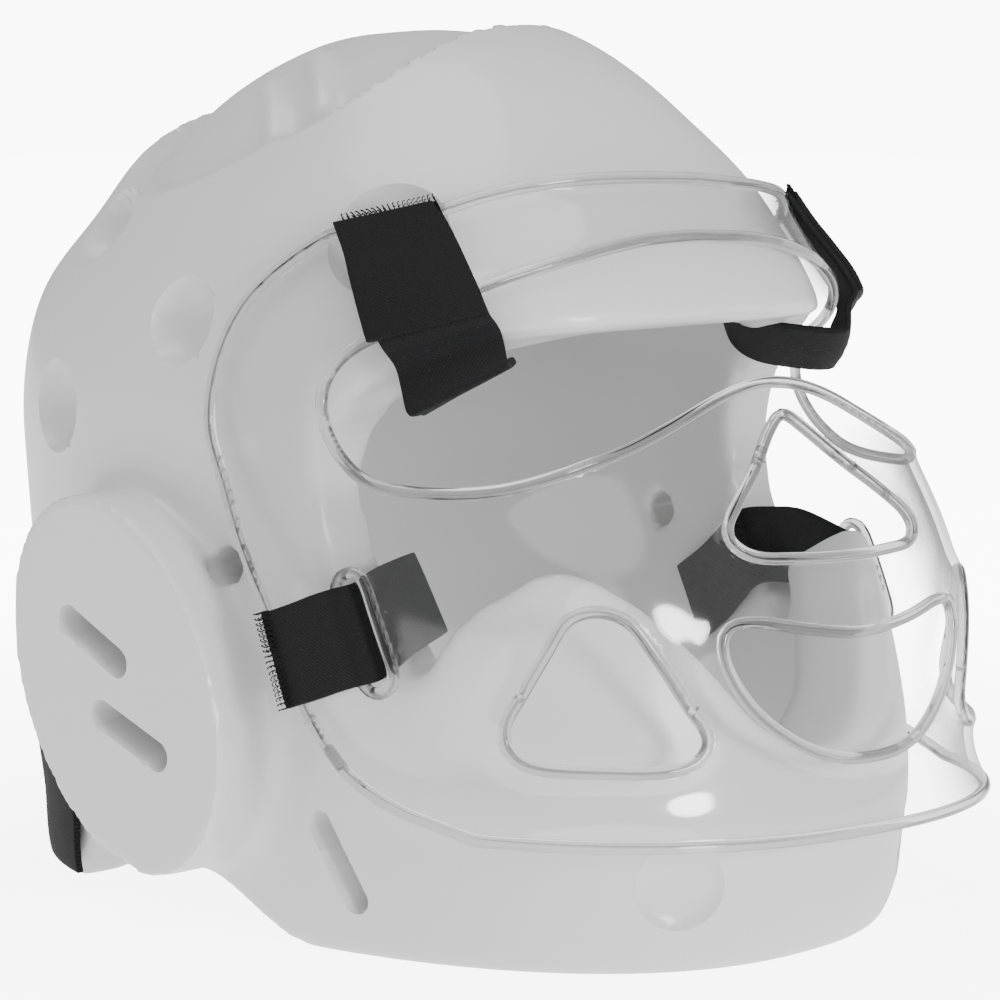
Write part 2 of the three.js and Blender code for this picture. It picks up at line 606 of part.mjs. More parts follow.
// Back strap: a wide band across the rear slit, its tongue lying over the other half
function backStrap() {
  const geometry = new THREE.BoxGeometry(1, 1, 1, backStrapSteps, 3, 1);
  return solidOf(warp(geometry, (point) => {
    const i = Math.round((point.x + 0.5) * backStrapSteps);
    const turn = (backStrapTurn + (360 - 2 * backStrapTurn) * (i / backStrapSteps)) * degrees;
    const height = backStrapBottom + (backStrapTop - backStrapBottom) * (point.y + 0.5);
    const bow = backStrapBow * Math.sin(Math.PI * (point.x + 0.5)) * (point.y + 0.7);
    const radius = shellRadius(shellSectionAt(height / shellHeight), turn) + 3 * fitGap + bow;
    const layersHere = i >= tongueFrom && i <= tongueTo ? 2 : 1;
    const out = radius + (point.z > 0 ? strapThickness * layersHere : 0);
    point.set(out * Math.sin(turn), -out * Math.cos(turn), height);
  }));
}

const foam = { color: 0xd9d9d9, roughness: 0.32, metalness: 0 };
const clear = { color: 0xe6ecef, roughness: 0.06, metalness: 0, transparent: true, opacity: 0.35 };
const webbing = { color: 0x17171a, roughness: 0.85, metalness: 0 };

const headgear = new THREE.Group();

function addPiece(name, solid, finish) {
  const mesh = new THREE.Mesh(geometryOf(solid), new THREE.MeshStandardMaterial(finish));
  mesh.name = name;
  headgear.add(mesh);
}

addPiece('foam_shell', foamShell(), foam);
addPiece('face_shield', faceShield(), clear);
for (const [name, side] of Object.entries(sides)) {
  addPiece(`brow_strap_${name}`, browStrap(side), webbing);
  addPiece(`cheek_strap_${name}`, cheekStrap(side), webbing);
}
addPiece('back_strap', backStrap(), webbing);

// The whole is moved along Y to stand middled over the origin
const bounds = new THREE.Box3().setFromObject(headgear);
const shift = -(bounds.min.y + bounds.max.y) / 2;
for (const mesh of headgear.children) mesh.geometry.translate(0, shift, 0);

export default headgear;
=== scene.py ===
import math

import bmesh
import bpy
import numpy as np
from mathutils import Matrix, Vector


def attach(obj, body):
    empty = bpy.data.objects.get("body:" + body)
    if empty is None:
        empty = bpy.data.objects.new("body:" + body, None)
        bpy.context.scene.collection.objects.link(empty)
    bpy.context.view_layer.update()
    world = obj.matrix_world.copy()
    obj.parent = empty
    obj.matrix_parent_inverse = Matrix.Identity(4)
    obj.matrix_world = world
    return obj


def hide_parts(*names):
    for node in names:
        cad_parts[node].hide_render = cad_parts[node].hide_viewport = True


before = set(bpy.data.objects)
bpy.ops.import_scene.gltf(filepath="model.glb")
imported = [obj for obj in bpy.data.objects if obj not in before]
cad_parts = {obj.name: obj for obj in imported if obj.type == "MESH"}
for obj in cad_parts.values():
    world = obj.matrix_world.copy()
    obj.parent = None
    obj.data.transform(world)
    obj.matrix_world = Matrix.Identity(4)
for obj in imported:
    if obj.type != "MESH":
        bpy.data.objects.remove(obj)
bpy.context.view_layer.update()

mm = 0.001
shiftBack = 17.456  # the origin stands this far in front of the shell's own axis, in mm


def srgb(hexText, alpha=1.0):
    parts = [int(hexText[i:i + 2], 16) / 255 for i in (1, 3, 5)]
    return [p / 12.92 if p <= 0.04045 else ((p + 0.055) / 1.055) ** 2.4 for p in parts] + [alpha]


def addNode(tree, kind, settings=None, values=None, links=None):
    made = tree.nodes.new(kind)
    for key, value in (settings or {}).items():
        setattr(made, key, value)
    for key, value in (values or {}).items():
        made.inputs[key].default_value = value
    for key, socket in (links or {}).items():
        tree.links.new(socket, made.inputs[key])
    return made


def newMaterial(name):
    material = bpy.data.materials.new(name)
    material.use_nodes = True
    return material, material.node_tree


def addObject(name, bm, smooth=True):
    mesh = bpy.data.meshes.new(name)
    bm.to_mesh(mesh)
    bm.free()
    if smooth:
        mesh.shade_smooth()
    made = bpy.data.objects.new(name, mesh)
    bpy.context.scene.collection.objects.link(made)
    return made


def addModifier(obj, name, kind, **settings):
    made = obj.modifiers.new(name, kind)
    for key, value in settings.items():
        setattr(made, key, value)
    return made


def applyModifiers(obj):
    bpy.context.view_layer.update()
    graph = bpy.context.evaluated_depsgraph_get()
    mesh = bpy.data.meshes.new_from_object(obj.evaluated_get(graph))
    obj.modifiers.clear()
    obj.data = mesh
    return obj


def points(obj):
    found = np.zeros(len(obj.data.vertices) * 3)
    obj.data.vertices.foreach_get("co", found)
    return found.reshape(-1, 3)


def setPoints(obj, place):
    obj.data.vertices.foreach_set("co", place.ravel())
    obj.data.update()


def normals(obj):
    found = np.zeros(len(obj.data.vertices) * 3)
    obj.data.vertex_normals.foreach_get("vector", found)
    return found.reshape(-1, 3)


def softStep(low, high, value):
    share = np.clip((value - low) / (high - low), 0, 1)
    return share * share * (3 - 2 * share)


def readRows(rows, column, place):
    table = np.array(rows, float)
    key, value = table[:, 0], table[:, column]
    slope = np.gradient(value, key)
    slope[1:-1] = (value[2:] - value[:-2]) / (key[2:] - key[:-2])
    i = np.clip(np.searchsorted(key, place, side="right") - 1, 0, len(key) - 2)
    gap = key[i + 1] - key[i]
    t = np.clip((place - key[i]) / gap, 0, 1)
    return ((2 * t ** 3 - 3 * t ** 2 + 1) * value[i] + (t ** 3 - 2 * t ** 2 + t) * gap * slope[i]
            + (3 * t ** 2 - 2 * t ** 3) * value[i + 1] + (t ** 3 - t ** 2) * gap * slope[i + 1])


# the foam shell: sections are up, wide, front, rear, power, as shares of the sizes above them
shell = {
    "height": 251.5, "halfWidth": 96, "front": 115, "rear": 127, "wall": 18, "crownWall": 20, "browHeight": 168,
    "voxel": 1.7, "rounds": 50,
    "sections": [
        (0.000, 0.97, 1.225, 0.915, 2.3), (0.035, 0.985, 1.265, 0.93, 2.3), (0.100, 0.99, 1.30, 0.935, 2.3),
        (0.210, 0.99, 1.28, 0.95, 2.45), (0.330, 1.00, 1.20, 0.97, 2.5), (0.450, 1.01, 1.08, 1.00, 2.5),
        (0.570, 1.015, 1.00, 1.01, 2.5), (0.680, 0.97, 0.97, 0.965, 2.4), (0.770, 0.845, 0.875, 0.825, 2.3),
        (0.820, 0.76, 0.785, 0.755, 2.3), (0.873, 0.64, 0.67, 0.665, 2.2), (0.925, 0.515, 0.54, 0.545, 2.1),
        (0.967, 0.365, 0.39, 0.39, 2.0), (0.992, 0.19, 0.21, 0.23, 2.0), (1.0, 0.02, 0.02, 0.02, 2.0)],
    # the face opening from the side: share of the front reach, share of the brow's height
    "opening": [
        (1.10, 0.62), (0.99, 0.632), (0.935, 0.638), (0.89, 0.632), (0.843, 0.604), (0.771, 0.565),
        (0.728, 0.525), (0.695, 0.475), (0.645, 0.453), (0.605, 0.48), (0.578, 0.527), (0.51, 0.578),
        (0.448, 0.643), (0.417, 0.744), (0.426, 0.789), (0.443, 0.829), (0.483, 0.872), (0.564, 0.908),
        (0.633, 0.943), (0.774, 0.982), (0.90, 0.991), (1.00, 1.00), (2.0, 1.0), (2.0, 0.62)],
    # the notch over the chin from the front: share of the half width, share of the brow's height
    "notch": [
        (0, 0.34), (0.105, 0.348), (0.23, 0.394), (0.365, 0.506), (0.49, 0.586), (0.57, 0.622),
        (0.65, 0.637), (0.74, 0.645), (0.74, 0.72)],
    "arch": [(-39, -8), (-39, 0), (-30, 3), (-22, 8), (2, 20), (20, 24), (44, 23), (58, 11), (66, 0), (66, -8)],
    "slitWidth": 14, "slitHeight": 78, "earHole": 5.2, "earHolePlace": (-17, 102),
    "cupFace": 116, "cupLong": 54, "cupShort": 38.5, "cupLean": 30, "cupHeight": 69, "cupBack": 8,
    # dimples of one side: turn from the front, share of the height, radius, depth
    "dimples": [
        (92, 0.665, 12.5, 8), (124, 0.555, 13.5, 8.5), (128, 0.755, 13.5, 8.5), (53, 0.757, 17, 5.5),
        (19, 0.10, 12, 3.5), (158, 0.62, 13.5, 8.5)],
    # slots of one side: back, height, length, width, lean, depth
    "slots": [(16, 80, 31, 8.5, 25, 13), (1, 56, 33, 8.5, 20, 13), (-54, 26, 30, 7.5, 60, 8)],
    # where the far brow strap presses the foam in: turn, height, spread of both, depth
    "pinch": (52, 178, 16, 17, 6),
}


def shellRadius(height, turn, wall=0.0, crownWall=0.0):
    up = np.clip(height / (shell["height"] - crownWall), 0, 1)
    wide, front, rear, power = [readRows(shell["sections"], c, up) for c in (1, 2, 3, 4)]
    reach = np.where(np.cos(turn) > 0, front * shell["front"], rear * shell["rear"])
    half = wide * shell["halfWidth"]
    span = (np.abs(np.sin(turn)) / half) ** power + (np.abs(np.cos(turn)) / reach) ** power
    return span ** (-1 / power) * (shell["halfWidth"] - wall) / shell["halfWidth"]


def spunShell(name, wall, crownWall, floor):
    bm = bmesh.new()
    top = shell["height"] - crownWall
    ups = np.sin(np.linspace(0, 1, 70) * math.pi / 2)[:-1]
    ring = [(1, floor)] + [(1, up * top) for up in ups[(1 if floor >= 0 else 0):]]
    if floor >= 0:
        ring[0] = (1, 0.0)
    chain = [bm.verts.new((0, 0, ring[0][1]))] + [bm.verts.new((out, 0, z)) for out, z in ring]
    chain.append(bm.verts.new((0, 0, top)))
    edges = [bm.edges.new(pair) for pair in zip(chain, chain[1:])]
    bmesh.ops.spin(bm, geom=chain + edges, axis=(0, 0, 1), cent=(0, 0, 0), steps=144, angle=2 * math.pi, use_merge=True)
    bmesh.ops.remove_doubles(bm, verts=bm.verts, dist=1e-4)
    bmesh.ops.recalc_face_normals(bm, faces=bm.faces)
    made = addObject(name, bm)
    place = points(made)
    turn = np.arctan2(place[:, 0], -place[:, 1])
    radius = np.hypot(place[:, 0], place[:, 1]) * shellRadius(place[:, 2], turn, wall, crownWall)
    place[:, 0], place[:, 1] = radius * np.sin(turn), -radius * np.cos(turn)
    setPoints(made, place)
    return made


def prism(name, outline, axis, low, high):
    bm = bmesh.new()
    corner = (lambda a, b: (low, a, b)) if axis == "x" else (lambda a, b: (a, low, b))
    face = bm.faces.new([bm.verts.new(corner(a, b)) for a, b in outline])
    made = bmesh.ops.extrude_face_region(bm, geom=[face])["geom"]
    moved = [v for v in made if isinstance(v, bmesh.types.BMVert)]
    bmesh.ops.translate(bm, verts=moved, vec=(high - low, 0, 0) if axis == "x" else (0, high - low, 0))
    bmesh.ops.recalc_face_normals(bm, faces=bm.faces)
    return addObject(name, bm, smooth=False)


def rod(name, radius, low, high, back, height, squash=1.0, lean=0.0, segments=64):
    bm = bmesh.new()
    bmesh.ops.create_cone(bm, cap_ends=True, segments=segments, radius1=radius, radius2=radius, depth=high - low)
    bmesh.ops.scale(bm, verts=bm.verts, vec=(1, squash, 1))
    bmesh.ops.rotate(bm, verts=bm.verts, cent=(0, 0, 0), matrix=Matrix.Rotation(math.radians(90), 3, "Y"))
    bmesh.ops.rotate(bm, verts=bm.verts, cent=(0, 0, 0), matrix=Matrix.Rotation(math.radians(-lean), 3, "X"))
    bmesh.ops.translate(bm, verts=bm.verts, vec=((low + high) / 2, back, height))
    return addObject(name, bm, smooth=False)


def distanceToStadium(a, b, slot):
    back, height, length, width, lean, depth = slot
    turn = math.radians(lean)
    along = (a - back) * math.cos(turn) + (b - height) * math.sin(turn)
    across = -(a - back) * math.sin(turn) + (b - height) * math.cos(turn)
    over = np.maximum(np.abs(along) - (length - width) / 2, 0)
    return np.hypot(over, across) - width / 2


def buildFoam():
    foam = spunShell("foamShell", 0, 0, 0)
    front, half, brow = shell["front"], shell["halfWidth"], shell["browHeight"]
    cutters = []
    for side in (-1, 1):
        low, high = sorted((side * (half - 12), side * shell["cupFace"]))
        cup = rod("cup", shell["cupLong"], low, high, shell["cupBack"], shell["cupHeight"],
                  shell["cupShort"] / shell["cupLong"], shell["cupLean"])
        addModifier(foam, "cup", "BOOLEAN", operation="UNION", object=cup, solver="MANIFOLD")
        low, high = sorted((side * 60, side * (half + 5)))
        back, height = shell["earHolePlace"]
        cutters.append(rod("earHole", shell["earHole"], low, high, back, height, segments=24))
        cutters.append(cup)
    cutters.append(spunShell("hollow", shell["wall"], shell["crownWall"], -5))
    cutters.append(prism("eyeSlot", [(-f * front, u * brow) for f, u in shell["opening"]], "x", -200, 200))
    notch = [(o * half, u * brow) for o, u in shell["notch"]]
    cutters.append(prism("chinNotch", notch + [(-a, b) for a, b in notch[:0:-1]], "y", -250, -0.6 * front))
    cutters.append(prism("arch", shell["arch"], "x", -200, 200))
    slit, top = shell["slitWidth"] / 2, shell["slitHeight"]
    cutters.append(prism("slit", [(-slit, -8), (slit, -8), (slit, top - slit), (0, top), (-slit, top - slit)], "y", 60, 200))
    for cutter in cutters:
        if cutter.name.startswith("cup"):
            continue
        addModifier(foam, cutter.name, "BOOLEAN", operation="DIFFERENCE", object=cutter, solver="MANIFOLD")
    addModifier(foam, "remesh", "REMESH", mode="VOXEL", voxel_size=shell["voxel"], use_smooth_shade=True)
    applyModifiers(foam)
    for cutter in cutters:
        bpy.data.objects.remove(cutter)
    place = points(foam)
    back, height = shell["earHolePlace"]
    keep = softStep(6, 13, np.hypot(place[:, 1] - back, place[:, 2] - height))
    keep = keep * (1 - 0.91 * softStep(shell["halfWidth"] - 1, shell["halfWidth"] + 6, np.abs(place[:, 0])))
    group = foam.vertex_groups.new(name="rounding")
    for i, weight in enumerate(np.round(keep, 2)):
        group.add([i], float(weight), "REPLACE")
    addModifier(foam, "rounding", "SMOOTH", factor=0.5, iterations=shell["rounds"], vertex_group="rounding")
    applyModifiers(foam)
    print("foam shell", len(foam.data.vertices))
    carveFoam(foam)
    return foam


def carveFoam(foam):
    place, away = points(foam), normals(foam)
    turn = np.arctan2(place[:, 0], -place[:, 1])
    spread = np.hypot(place[:, 0], place[:, 1])
    outer = shellRadius(place[:, 2], turn)
    onOuter = softStep(-9, -4, spread - outer)
    move = np.zeros(len(place))
    # crown panel with two ribs across each side
    p = crownPanel
    along = (place[:, 1] - p["start"]) / p["length"]
    half = readRows(p["half"], 1, np.clip(along, 0, 1)) * shell["halfWidth"]
    inside = np.minimum(half - np.abs(place[:, 0]), np.minimum(along, 1 - along) * p["length"] * 1.5)
    onTop = softStep(0.05, 0.3, away[:, 2]) * (place[:, 2] > 170)
    panel = softStep(-p["edge"], p["edge"], inside) * onTop
    rib = np.zeros(len(place))
    for rowX, rowY, rowLean in p["ribs"]:
        a = math.radians(rowLean)
        dx, dy = np.abs(place[:, 0]) - rowX, place[:, 1] - rowY
        across = -dx * math.sin(a) + dy * math.cos(a)
        run = dx * math.cos(a) + dy * math.sin(a)
        rib = np.maximum(rib, np.exp(-(across / p["ribWidth"]) ** 2) * softStep(p["ribLength"] / 2, p["ribLength"] / 2 - 8, np.abs(run)))
    move -= p["depth"] * panel * (1 - 0.6 * rib)
    slide = np.zeros_like(place)
    for turnRow, up, radius, depth in shell["dimples"]:
        for side in (-1, 1):
            angle, height = math.radians(side * turnRow), up * shell["height"]
            r = float(shellRadius(np.array([height]), np.array([angle]))[0])
            centre = np.array([r * math.sin(angle), -r * math.cos(angle), height])
            reach = place - centre
            far = np.linalg.norm(reach, axis=1)
            onRim = (np.abs(far - radius) < 1.0) & (onOuter > 0.5)
            slide[onRim] = ((radius / far - 1)[:, None] * reach)[onRim]
            move -= depth * np.clip(1 - (far / radius) ** 2, 0, 1) ** 0.62 * onOuter * (np.abs(far - radius) >= 1.0)
    turnAt, heightAt, turnSpread, heightSpread, depth = shell["pinch"]
    press = np.exp(-((np.degrees(turn) - turnAt) / turnSpread) ** 2 - ((place[:, 2] - heightAt) / heightSpread) ** 2)
    press *= depth * softStep(-16, -5, spread - outer)
    place = place + slide + away * move[:, None]
    place[:, 0] -= press * np.sin(turn)
    place[:, 1] += press * np.cos(turn)
    for slot in shell["slots"]:
        onFace = softStep(-14, -9, spread - outer) if slot[0] > -40 else onOuter
        onFace = onFace * (np.abs(away[:, 0]) > 0.5)
        far = distanceToStadium(place[:, 1], place[:, 2], slot)
        step = 0.05
        slopeY = (distanceToStadium(place[:, 1] + step, place[:, 2], slot) - far) / step
        slopeZ = (distanceToStadium(place[:, 1], place[:, 2] + step, slot) - far) / step
        onRim = (np.abs(far) < 1.0) & (onFace > 0.5)
        place[onRim, 1] -= (far * slopeY)[onRim]
        place[onRim, 2] -= (far * slopeZ)[onRim]
        depth = np.where(far < -1.0, softStep(-0.6, -2.2, far), 0) * slot[5]
        place[:, 0] -= np.sign(place[:, 0]) * depth * onFace
    setPoints(foam, place)
    foam.data.set_sharp_from_angle(angle=math.radians(38))


crownPanel = {
    "start": -34, "length": 116, "depth": 6, "edge": 2.2,
    "half": [(0, 0.06), (0.03, 0.34), (0.14, 0.57), (0.3, 0.68), (0.48, 0.75), (0.7, 0.73), (0.88, 0.58), (0.97, 0.34), (1, 0.06)],
    "ribs": [(45, 4, 130), (56, 12, 130)], "ribWidth": 3.4, "ribLength": 44,
}


# the clear shield round its own axis: sections are up, wide, front, power, as shares of the sizes above them
shield = {
    "thickness": 2.6, "halfWidth": 105, "reach": 106, "axis": -50, "clearance": 1.7, "sag": 3, "blend": 3, "bottom": 38.5,
    "height": 171.5, "cell": 1.4,
    "sections": [
        (-0.03, 1.055, 1.12, 2.3), (0.03, 1.03, 1.075, 2.3), (0.145, 1.015, 1.03, 2.3), (0.32, 1.00, 1.00, 2.35),
        (0.425, 0.98, 0.93, 2.4), (0.587, 0.925, 0.765, 2.4), (0.669, 0.90, 0.71, 2.3), (0.785, 0.84, 0.60, 2.2),
        (0.90, 0.70, 0.50, 2.1), (1.02, 0.60, 0.42, 2.1)],
    # how far round it reaches: share of the height, degrees from the front
    "outline": [
        (-0.03, 52), (0, 58), (0.03, 69), (0.076, 78), (0.18, 87), (0.273, 92), (0.384, 99.5), (0.483, 105),
        (0.576, 108.5), (0.68, 108), (0.779, 105), (0.843, 100.5), (0.878, 96), (0.919, 89.5), (1.02, 86)],
    # top edge of the band: share of its half length, drop as a share of the height
    "bandTop": [
        (0, 0.018), (0.26, 0.021), (0.42, 0.025), (0.55, 0.032), (0.66, 0.043), (0.75, 0.058), (0.83, 0.078),
        (0.92, 0.098), (1, 0.116)],
    # eye opening: turn from the front, low and high edge as shares of the height
    "eye": [
        (0, 0.674, 0.882), (8, 0.668, 0.882), (17, 0.648, 0.879), (27, 0.614, 0.872), (41, 0.566, 0.851),
        (56, 0.522, 0.817), (68, 0.512, 0.776), (77, 0.522, 0.730), (82.5, 0.556, 0.702), (85.5, 0.592, 0.675),
        (86.8, 0.622, 0.648)],
    # holes: turn, height of the centre, width, height
    "nose": (0, 124.5, 80, 33.5), "mouth": (0, 75, 92, 35.5), "cheek": (41.6, 75, 48, 38.5),
    "noseHalf": [(0, 0.57), (0.22, 0.46), (0.55, 0.19), (0.85, -0.06), (1, -0.25), (0.88, -0.37), (0.45, -0.42), (0, -0.43)],
    "mouthHalf": [
        (0, 0.38), (0.43, 0.44), (0.83, 0.52), (0.98, 0.49), (1, 0.34), (0.91, 0.08), (0.72, -0.18), (0.39, -0.41),
        (0, -0.48)],
    "cheekOutline": [
        (0.08, 0.57), (-0.21, 0.52), (-0.5, 0.28), (-0.83, -0.05), (-1.04, -0.26), (-0.88, -0.39), (0, -0.43),
        (0.83, -0.38), (0.96, -0.23), (0.75, 0.05), (0.5, 0.34), (0.33, 0.52)],
    # slot for the cheek strap: turn, height, length, width, lean
    "slot": (75.5, 88.5, 31, 8.5, 24),
    # raised lips: height and width of the one round each hole and of the one along the outer edge
    "lipHeight": 1.6, "lipWidth": 4.2, "rimHeight": 1.4, "rimWidth": 5,
    # the rolled bead along each edge: radius, how far its middle lies inside the outline, length of one step
    "beadRadius": 1.65, "beadInset": 1.2, "beadStep": 1.3, "beadSides": 10, "sheetInset": 1.6,
}


def foamFromShieldAxis(turn, height, wall=0.0, crownWall=0.0):
    near, far = np.zeros_like(turn), np.full_like(turn, 260.0)
    for _ in range(22):
        middle = (near + far) / 2
        x, y = middle * np.sin(turn), shield["axis"] - middle * np.cos(turn)
        inside = np.hypot(x, y) < shellRadius(height, np.arctan2(x, -y), wall, crownWall)
        near, far = np.where(inside, middle, near), np.where(inside, far, middle)
    return near


def shieldRadius(turn, height):
    up = (height - shield["bottom"]) / shield["height"]
    wide, front, power = [readRows(shield["sections"], c, up) for c in (1, 2, 3)]
    span = (np.abs(np.sin(turn)) / (wide * shield["halfWidth"])) ** power
    span += (np.maximum(np.cos(turn), 0) / (front * shield["reach"])) ** power
    own = span ** (-1 / power)
    foam = foamFromShieldAxis(turn, height - shield["sag"] * np.sin(turn)) + shield["clearance"] + shield["thickness"]
    return (own + foam + np.hypot(own - foam, shield["blend"])) / 2


def roundPoints(turn, radius, height):
    return np.stack([radius * np.sin(turn), shield["axis"] - radius * np.cos(turn), height], axis=1)


def smoothLoop(rows, count=160):
    rows = np.array(rows, float)
    before, after, next2 = np.roll(rows, 1, 0), np.roll(rows, -1, 0), np.roll(rows, -2, 0)
    share = np.linspace(0, 1, max(count // len(rows), 4), endpoint=False)[None, :, None]
    a, b, c, d = [r[:, None, :] for r in (before, rows, after, next2)]
    knots = [np.maximum(np.linalg.norm(q - p, axis=2, keepdims=True), 1e-6) ** 0.5 for p, q in ((a, b), (b, c), (c, d))]
    slopeB = knots[1] * ((b - a) / knots[0] - (c - a) / (knots[0] + knots[1]) + (c - b) / knots[1])
    slopeC = knots[1] * ((c - b) / knots[1] - (d - b) / (knots[1] + knots[2]) + (d - c) / knots[2])
    s = share
    curve = (2 * s ** 3 - 3 * s ** 2 + 1) * b + (s ** 3 - 2 * s ** 2 + s) * slopeB
    curve = curve + (-2 * s ** 3 + 3 * s ** 2) * c + (s ** 3 - s ** 2) * slopeC
    return curve.reshape(-1, 2)


def mirroredLoop(half):
    return half + [(-out, up) for out, up in half[-2:0:-1]]


def holeLoop(rows, hole, side=1, lean=0.0):
    turn, centre, width, height = hole
    loop = smoothLoop([(side * out * width / 2, up * height) for out, up in rows])
    a = math.radians(side * lean)
    u = loop[:, 0] * math.cos(a) - loop[:, 1] * math.sin(a)
    v = loop[:, 0] * math.sin(a) + loop[:, 1] * math.cos(a)
    return np.stack([side * math.radians(turn) * shield["reach"] + u, centre + v], axis=1)


def loopDistance(place, loop):
    a, b = loop, np.roll(loop, -1, 0)
    best, near = np.full(len(place), 1e9), np.zeros_like(place)
    inside = np.zeros(len(place), bool)
    for p, q in zip(a, b):
        run = q - p
        share = np.clip(((place - p) @ run) / max(run @ run, 1e-9), 0, 1)
        foot = p + share[:, None] * run
        far = np.hypot(*(place - foot).T)
        closer = far < best
        best[closer], near[closer] = far[closer], foot[closer]
        if p[1] != q[1]:
            crosses = (p[1] > place[:, 1]) != (q[1] > place[:, 1])
            inside ^= crosses & (place[:, 0] < p[0] + (place[:, 1] - p[1]) * run[0] / run[1])
    return np.where(inside, -best, best), near


def shieldLoops():
    reach, s = shield["reach"], shield
    alongs = np.linspace(-1, 1, 81)
    topUp = 1 - readRows(s["bandTop"], 1, np.abs(alongs))
    top = [(along * math.radians(float(readRows(s["outline"], 1, np.array([up]))[0])) * reach, s["bottom"] + up * s["height"])
           for along, up in zip(alongs, topUp)]
    endUp = np.linspace(topUp[0], 0, 70)[1:]
    turns = np.radians(readRows(s["outline"], 1, endUp)) * reach
    right = [(t, s["bottom"] + up * s["height"]) for t, up in zip(turns, endUp)]
    left = [(-t, v) for t, v in right[::-1]]
    outer = np.array(top + right + left)
    eyeTurns = np.linspace(-math.pi / 2, math.pi / 2, 90)
    turn = np.sin(eyeTurns) * s["eye"][-1][0]
    low = s["bottom"] + readRows(s["eye"], 1, np.abs(turn)) * s["height"]
    high = s["bottom"] + readRows(s["eye"], 2, np.abs(turn)) * s["height"]
    u = np.radians(turn) * reach
    eye = np.array(list(zip(u, low)) + list(zip(u[::-1], high[::-1])))
    holes = [holeLoop(mirroredLoop(s["noseHalf"]), s["nose"]), holeLoop(mirroredLoop(s["mouthHalf"]), s["mouth"])]
    turn, centre, length, width, lean = s["slot"]
    arc = [math.pi * k / 8 for k in range(9)]
    stadium = [(width / 2 * math.cos(a), (length - width) / 2 + width / 2 * math.sin(a)) for a in arc]
    stadium += [(-x, -y) for x, y in stadium]
    slots = []
    for side in (-1, 1):
        holes.append(holeLoop(s["cheekOutline"], s["cheek"], side))
        a = math.radians(-side * lean)
        base = np.array(stadium)
        slots.append(np.stack([
            side * math.radians(turn) * reach + base[:, 0] * math.cos(a) - base[:, 1] * math.sin(a),
            centre + base[:, 0] * math.sin(a) + base[:, 1] * math.cos(a)], axis=1))
    return evenLoop(outer), evenLoop(eye), [evenLoop(hole) for hole in holes], [evenLoop(slot) for slot in slots]


def evenLoop(loop):
    closed = np.vstack([loop, loop[:1]])
    length = np.concatenate([[0], np.cumsum(np.linalg.norm(np.diff(closed, axis=0), axis=1))])
    at = np.linspace(0, length[-1], int(length[-1] / shield["beadStep"]), endpoint=False)
    even = np.stack([np.interp(at, length, closed[:, k]) for k in (0, 1)], axis=1)
    for _ in range(3):
        even = (np.roll(even, 1, 0) + 2 * even + np.roll(even, -1, 0)) / 4
    return even


# a loop moved towards its own middle, or away from it where the gap is negative
def insetLoop(loop, gap):
    ahead = np.roll(loop, -1, 0) - np.roll(loop, 1, 0)
    ahead /= np.linalg.norm(ahead, axis=1, keepdims=True)
    after = np.roll(loop, -1, 0)
    turning = np.sign(np.sum(loop[:, 0] * after[:, 1] - after[:, 0] * loop[:, 1]))
    return loop + gap * turning * np.stack([-ahead[:, 1], ahead[:, 0]], axis=1)


def shieldPlace(flat, loops):
    outer, eye, holes, slots = loops
    lip = shield["rimHeight"] * np.exp(-(loopDistance(flat, outer)[0] / shield["rimWidth"]) ** 2)
    lip = np.maximum(lip, 0.8 * np.exp(-(loopDistance(flat, eye)[0] / 3.5) ** 2))
    for loop in holes:
        lip = np.maximum(lip, shield["lipHeight"] * np.exp(-(loopDistance(flat, loop)[0] / shield["lipWidth"]) ** 2))
    for loop in slots:
        lip = np.maximum(lip, 0.9 * np.exp(-(loopDistance(flat, loop)[0] / 3.0) ** 2))
    turn = flat[:, 0] / shield["reach"]
    return roundPoints(turn, shieldRadius(turn, flat[:, 1]) + lip, flat[:, 1] - shield["sag"] * np.sin(turn))


def buildBead(loop, loops):
    place = shieldPlace(loop, loops)
    alongTurn = shieldPlace(loop + (0.2, 0), loops) - place
    upward = shieldPlace(loop + (0, 0.2), loops) - place
    outward = np.cross(alongTurn, upward)
    outward /= np.linalg.norm(outward, axis=1, keepdims=True)
    middle = place - outward * shield["thickness"] / 2
    ahead = np.roll(middle, -1, 0) - np.roll(middle, 1, 0)
    sideways = np.cross(outward, ahead)
    sideways /= np.linalg.norm(sideways, axis=1, keepdims=True)
    columns, rows = len(loop), shield["beadSides"]
    bm = bmesh.new()
    bmesh.ops.create_grid(bm, x_segments=columns, y_segments=rows, size=0.5)
    made = addObject("bead", bm)
    flat = points(made)[:, :2]
    column, row = [np.rint((flat[:, k] - flat[:, k].min()) / np.ptp(flat[:, k]) * n).astype(int)
                   for k, n in ((0, columns), (1, rows))]
    a = 2 * math.pi * row / rows
    i = column % columns
    ring = np.cos(a)[:, None] * outward[i] + np.sin(a)[:, None] * sideways[i]
    setPoints(made, middle[i] + shield["beadRadius"] * ring)
    return made


